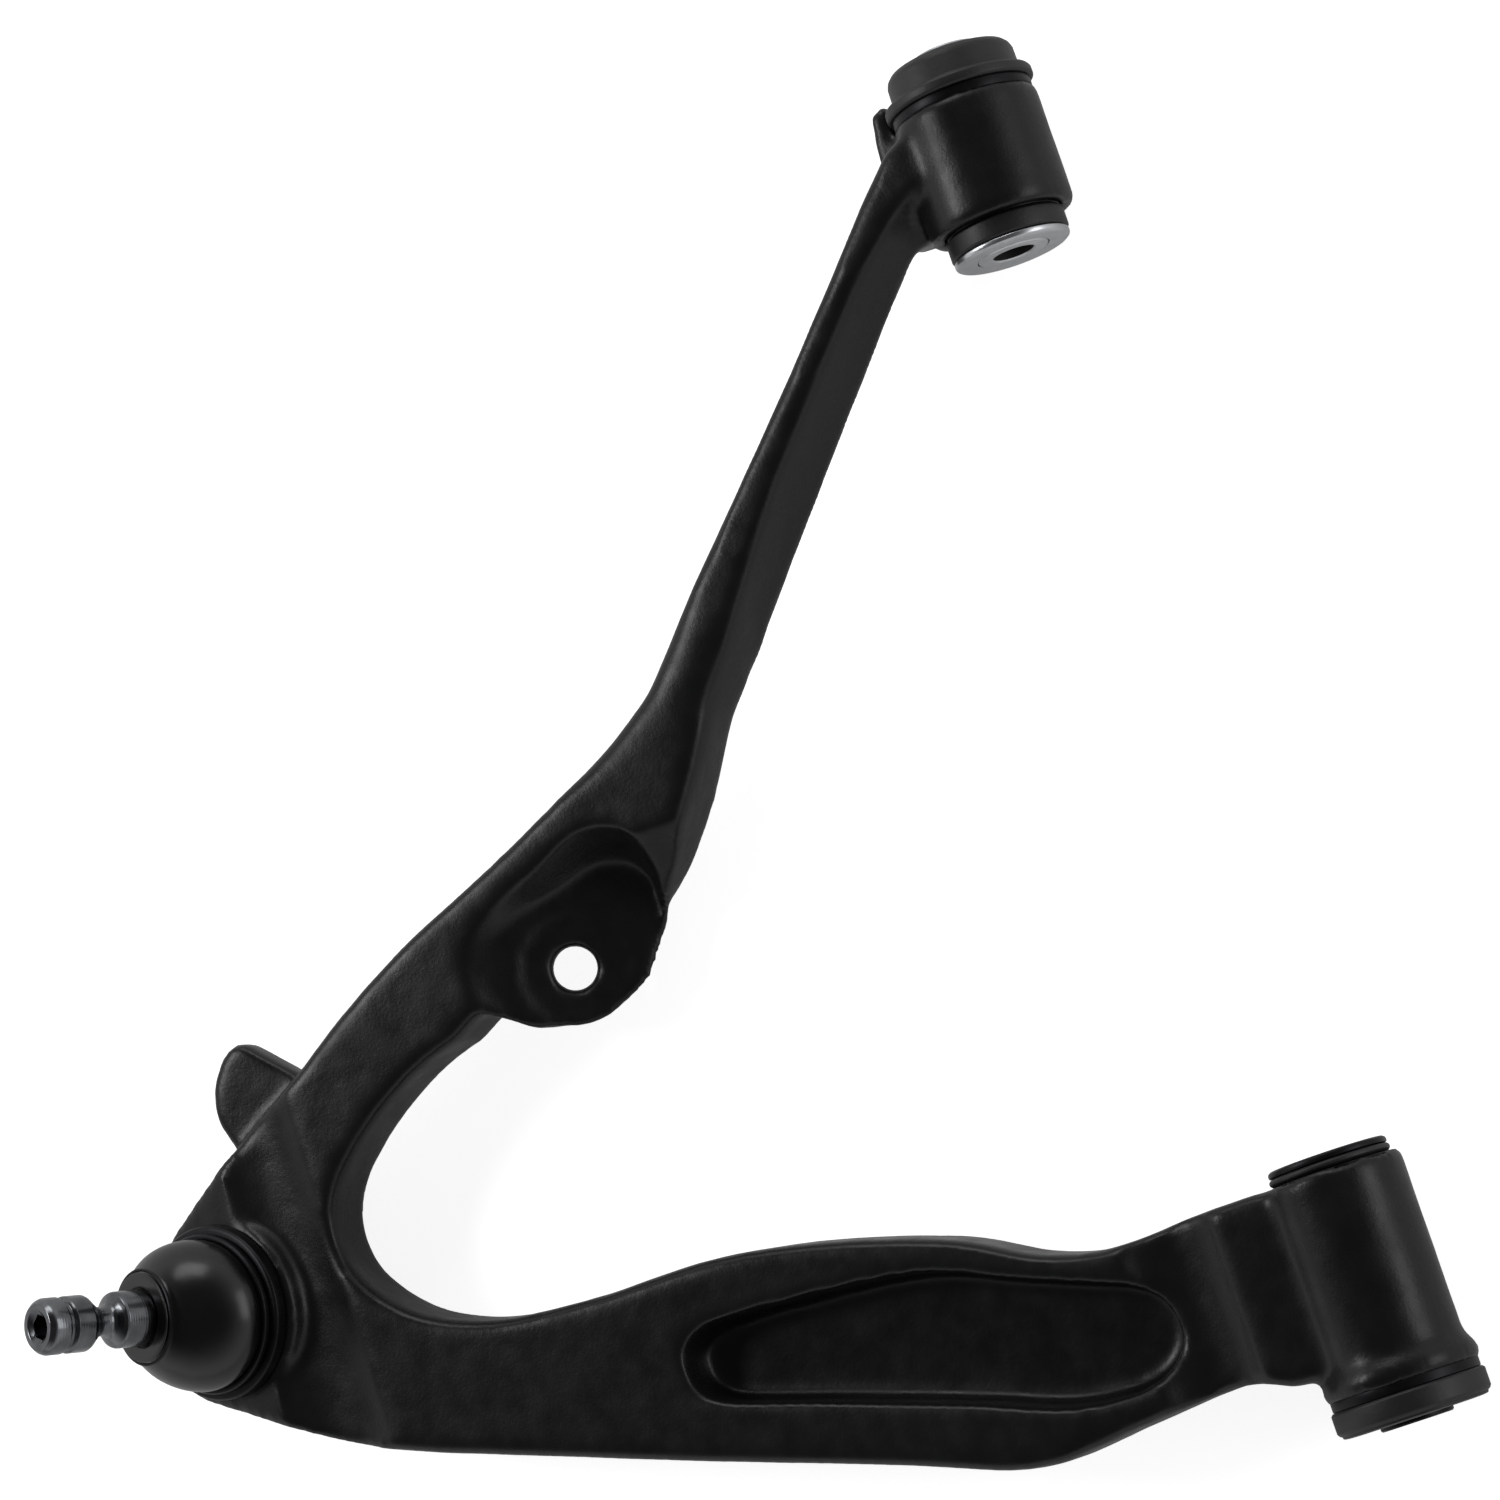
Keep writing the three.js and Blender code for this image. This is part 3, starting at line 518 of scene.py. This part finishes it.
# --- Inside the can -------------------------------------------------------------------------------------
# Two moulded acetal liners hold the ball, and a conical disc spring presses them on it. They are hidden
# unless the joint is taken apart, so the CAD shapes serve and only get their finish here.

# Natural acetal: waxy off-white plastic, faintly clouded over about 8 mm where it flowed into the mould.
acetal, tree, shader = new_material("moulded natural acetal", {"Metallic": 0.0})
place = add_node(tree, "ShaderNodeTexCoord").outputs["Object"]
flow = add_node(tree, "ShaderNodeTexNoise", {"Scale": 120, "Detail": 3}, {"Vector": place})
resin = add_node(tree, "ShaderNodeMix", {"data_type": "RGBA", 6: linear("#d3cdbb"), 7: linear("#ded9ca")},
                 {0: flow.outputs["Fac"]})
tree.links.new(resin.outputs[2], shader.inputs["Base Color"])
wax = add_node(tree, "ShaderNodeMapRange", {3: 0.36, 4: 0.48}, {0: flow.outputs["Fac"]})
tree.links.new(wax.outputs[0], shader.inputs["Roughness"])


def refinish(node, material):
    """Gives a hidden CAD node, which stays as it is, a real finish."""
    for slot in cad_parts[node].material_slots:
        slot.material = material


refinish("upper_bearing_liner", acetal)
refinish("lower_bearing_liner", acetal)
refinish("preload_disc_spring", zinc)

# --- Ball stud ------------------------------------------------------------------------------------------
# Forged and turned alloy steel: a ball, a tapered neck, a 20 mm shank with a waist for the pinch bolt, and
# a rounded end with a small hexagon socket for holding it while the bolt is tightened.
BALL_RADIUS = 15
BALL_ARC = [math.radians(degrees) for degrees in range(-78, 53, 13)]
HEXAGON = 4.6
SOCKET_FOOT = 82.5
SIXTH = math.radians(60)

stud = turned("ball_stud_turned", [
    *[(BALL_RADIUS * math.cos(angle), BALL_RADIUS * math.sin(angle)) for angle in BALL_ARC],
    (8.1, 13),
    (8, 15),
    (8.4, 18),
    (9.2, 21.5),
    (10, 24),
    (10, 57.2),
    (9.6, 58.2),
    (8.2, 59.2),
    (6.2, 60),
    (5.4, 61),
    (5.2, 62.4),
    (5.2, 65),
    (5.8, 66.2),
    (7.6, 68.3),
    (9.5, 70.5),
    (10, 71.5),
    (10, 78.3),
    (9.4, 79),
    (8.6, 79.4),
    (8.6, 80.6),
    (9.4, 81),
    (10, 81.7),
    (10, 86.6),
    (9.5, 88),
    (8.2, 89.5),
    (6.2, 89.5),
    (5.4, 88.9),
    (HEXAGON, 88.2),
    (HEXAGON, SOCKET_FOOT),
], filled=True, bevel=0)
# The socket's two rings are drawn in to a hexagon's flats.
for vertex in stud.data.vertices:
    if vertex.co.z > (SOCKET_FOOT - 1) * MM and vertex.co.xy.length < (HEXAGON + 0.1) * MM:
        off_flat = math.atan2(vertex.co.y, vertex.co.x) % SIXTH - SIXTH / 2
        vertex.co.xy *= math.cos(SIXTH / 2) / math.cos(off_flat)
modify(stud, "BEVEL", width=0.2 * MM, segments=2, limit_method="ANGLE", angle_limit=ROUNDED)
bpy.ops.object.shade_smooth_by_angle(angle=SHARP)
put(stud, placed_along(STUD_AXIS))

# Bare turned steel: grey under an uneven film of preserving oil, with the tool's rings round the shank. Its
# feed is near 0.2 mm, and it is drawn 1 mm wide so that it shows.
stud_steel, tree, shader = new_material("bare turned alloy steel", {"Metallic": 1.0})
place = add_node(tree, "ShaderNodeTexCoord").outputs["Object"]
stud_turn = Vector((0, 0, 1)).rotation_difference(STUD_AXIS).to_euler()
on_stud = add_node(tree, "ShaderNodeMapping",
                   {"vector_type": "TEXTURE", "Location": BALL, "Rotation": stud_turn}, {"Vector": place})
feed = add_node(tree, "ShaderNodeTexWave", {"wave_type": "BANDS", "bands_direction": "Z", "Scale": 300,
                                            "Distortion": 0.6}, {"Vector": on_stud.outputs[0]})
film = add_node(tree, "ShaderNodeTexNoise", {"Scale": 130, "Detail": 4}, {"Vector": place})
steel = add_node(tree, "ShaderNodeMix", {"data_type": "RGBA", 6: linear("#333538"), 7: linear("#8b8d90")},
                 {0: film.outputs["Fac"]})
tree.links.new(steel.outputs[2], shader.inputs["Base Color"])
oily = add_node(tree, "ShaderNodeMapRange", {3: 0.12, 4: 0.26}, {0: film.outputs["Fac"]})
tree.links.new(oily.outputs[0], shader.inputs["Roughness"])
feed_bump = add_node(tree, "ShaderNodeBump", {"Strength": 0.12, "Distance": 0.0001},
                     {"Height": feed.outputs["Fac"]})
tree.links.new(feed_bump.outputs[0], shader.inputs["Normal"])
finish_piece(stud, stud_steel, "stud_steel", "stud", "ball_stud")

# --- Dust boot ------------------------------------------------------------------------------------------
# Moulded chloroprene, a rounded bellows that seals the joint and keeps its grease in. A ring clamps its foot
# to the can's flange, and its neck grips the stud and leans with it.
BOOT_BEND = (22, 40)  # the boot's wall leans over between these heights
BOOT_OUTSIDE = [
    (26.3, 18.8), (26.3, 21.7), (26.6, 22.4), (27, 24.2), (27.1, 26), (26.8, 28.2), (26.2, 30.6), (25.2, 33),
    (23.9, 35.4), (22.2, 37.7), (20.2, 39.9), (18.4, 41.5), (17, 42.5), (16.1, 43.2), (15.7, 44),
    (15.7, 45.4), (16, 45.9), (15.8, 46.4), (15.2, 46.5),
]
BOOT_INSIDE = [
    (10.5, 46.5), (10.4, 46.1), (10.6, 45.7), (13.3, 45.7), (13.3, 42.4), (17.4, 39.6), (21, 35.4),
    (24.4, 27), (23.6, 22.5), (23, 18.8),
]

boot = turned("boot_bellows", BOOT_OUTSIDE + BOOT_INSIDE, facets=112, bevel=0)
modify(boot, "SUBSURF", levels=1, render_levels=1)
bpy.ops.object.shade_smooth()
lean = HOUSING_AXIS.rotation_difference(STUD_AXIS)
upright = Vector((0, 0, 1)).rotation_difference(HOUSING_AXIS)
for vertex in boot.data.vertices:
    climb = min(1, max(0, (vertex.co.z / MM - BOOT_BEND[0]) / (BOOT_BEND[1] - BOOT_BEND[0])))
    eased = climb * climb * (3 - 2 * climb)
    turn = Quaternion().slerp(lean, eased)
    vertex.co = BALL + turn @ (upright @ vertex.co)

# Boot rubber comes out of a polished mould, so it is glossier than the bushes. Handling dulls it in
# patches of about 14 mm.
boot_rubber, tree, shader = new_material("moulded black chloroprene", {"Metallic": 0.0})
place = add_node(tree, "ShaderNodeTexCoord").outputs["Object"]
dust = add_node(tree, "ShaderNodeTexNoise", {"Scale": 70, "Detail": 5}, {"Vector": place})
skin = add_node(tree, "ShaderNodeMix", {"data_type": "RGBA", 6: linear("#070708"), 7: linear("#111112")},
                {0: dust.outputs["Fac"]})
tree.links.new(skin.outputs[2], shader.inputs["Base Color"])
polish = add_node(tree, "ShaderNodeMapRange", {3: 0.17, 4: 0.3}, {0: dust.outputs["Fac"]})
tree.links.new(polish.outputs[0], shader.inputs["Roughness"])
pucker = add_node(tree, "ShaderNodeBump", {"Strength": 0.2, "Distance": 0.0006},
                  {"Height": dust.outputs["Fac"]})
tree.links.new(pucker.outputs[0], shader.inputs["Normal"])
boot.data.materials.append(boot_rubber)
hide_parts("dust_boot")
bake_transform(boot)

# --- Boot rings and neck bush ---------------------------------------------------------------------------
# A flat steel band clamps the boot's foot, a wire ring its neck. Inside the neck a plain acetal bush rides
# on the shank, so that the stud can turn without twisting the rubber.
foot_band = turned("foot_band", [
    (26.6, 18.8),
    (27.9, 18.8),
    (28.4, 19.4),
    (28.4, 21.1),
    (27.9, 21.7),
    (26.6, 21.7),
], bevel=0.2)
put(foot_band, placed_along(HOUSING_AXIS))
finish_piece(foot_band, black_steel, "black_steel", ARM, "boot_base_ring")

neck_wire = turned("neck_wire", [
    (16, 44.9),
    (16.2, 44.45),
    (16.65, 44.25),
    (17.1, 44.45),
    (17.3, 44.9),
    (17.1, 45.35),
    (16.65, 45.55),
    (16.2, 45.35),
], bevel=0)
put(neck_wire, placed_along(STUD_AXIS))
finish_piece(neck_wire, black_steel, "black_steel", "boot_neck", "boot_neck_ring")

neck_bush = turned("neck_bush", [
    (10.3, 41.4),
    (13, 41.4),
    (13, 45.4),
    (10.8, 45.4),
    (10.3, 44.9),
], bevel=0.2)
put(neck_bush, placed_along(STUD_AXIS))
finish_piece(neck_bush, acetal, "polymer", "boot_neck", "boot_lip_bush")

# --- Floor, lights and camera ---------------------------------------------------------------------------
# The arm lies on a back-lit white floor in a white tent, which is bright round the horizon and dark
# overhead. Three soft boxes add the highlights.
FLOOR_GLOW = 0.82
FLOOR_BOUNCE = 0.1
HORIZON = 0.75
OVERHEAD = 0.07
TENT_BAND = (0.15, 0.8)  # the tent darkens between these heights, as shares of the way to straight up

bpy.ops.object.select_all(action="DESELECT")
bpy.ops.mesh.primitive_plane_add(size=12, location=(0, 0, cad_box[0][2]))
floor = bpy.context.object
floor.name = "floor"
# Opal acrylic lit from behind: an even white glow, of which little reaches the arm.
acrylic, tree, shader = new_material("back-lit white acrylic", {
    "Roughness": 0.9, "Base Color": linear("#f2f2f2"), "Emission Color": linear("#ffffff")})
seen = add_node(tree, "ShaderNodeLightPath").outputs["Is Camera Ray"]
glow = add_node(tree, "ShaderNodeMapRange", {3: FLOOR_BOUNCE, 4: FLOOR_GLOW}, {0: seen})
tree.links.new(glow.outputs[0], shader.inputs["Emission Strength"])
floor.data.materials.append(acrylic)

world = bpy.data.worlds.new("tent")
bpy.context.scene.world = world
world.use_nodes = True
sky = world.node_tree
around = add_node(sky, "ShaderNodeTexCoord").outputs["Generated"]
direction = add_node(sky, "ShaderNodeSeparateXYZ", {}, {0: around})
dome = add_node(sky, "ShaderNodeMapRange", {"interpolation_type": "SMOOTHSTEP", 1: TENT_BAND[0],
                                            2: TENT_BAND[1], 3: HORIZON, 4: OVERHEAD},
                {0: direction.outputs["Z"]})
sky.links.new(dome.outputs[0], sky.nodes["Background"].inputs["Strength"])
sky.nodes["Background"].inputs["Color"].default_value = (1, 1, 1, 1)


def soft_box(name, place, aim, size, power):
    """A rectangular area light at a place, turned to face its aim."""
    lamp = bpy.data.lights.new(name, "AREA")
    lamp.shape = "RECTANGLE"
    lamp.size, lamp.size_y = size
    lamp.energy = power
    box = bpy.data.objects.new(name, lamp)
    box.location = place
    box.rotation_euler = (Vector(aim) - Vector(place)).to_track_quat("-Z", "Y").to_euler()
    bpy.context.collection.objects.link(box)


CENTRE = (0.0, 0.2, 0.0)
BOOT_SIDE = (0.05, 0.3, 0)
soft_box("left_box", (0.7, 1.35, 1.3), BOOT_SIDE, (0.7, 0.5), 9)
soft_box("right_box", (-0.3, -2.0, 0.7), CENTRE, (1.6, 0.8), 7)
soft_box("front_box", (1.9, 0.0, 1.1), CENTRE, (1.2, 0.8), 8)

# A long lens looks down steeply from behind the pivot line, with the ball joint at the lower left.
CAMERA_PLACE = (-0.23313, -0.467, 1.67638)
CAMERA_TURN = (1.7157, 21.8088, -109.6304)  # degrees about X, Y and Z
camera_data = bpy.data.cameras.new("camera")
camera_data.lens = 126
camera_data.sensor_width = 36
camera = bpy.data.objects.new("camera", camera_data)
bpy.context.collection.objects.link(camera)
camera.location = CAMERA_PLACE
camera.rotation_euler = [math.radians(angle) for angle in CAMERA_TURN]
bpy.context.scene.camera = camera
bpy.context.scene.view_settings.view_transform = "Standard"
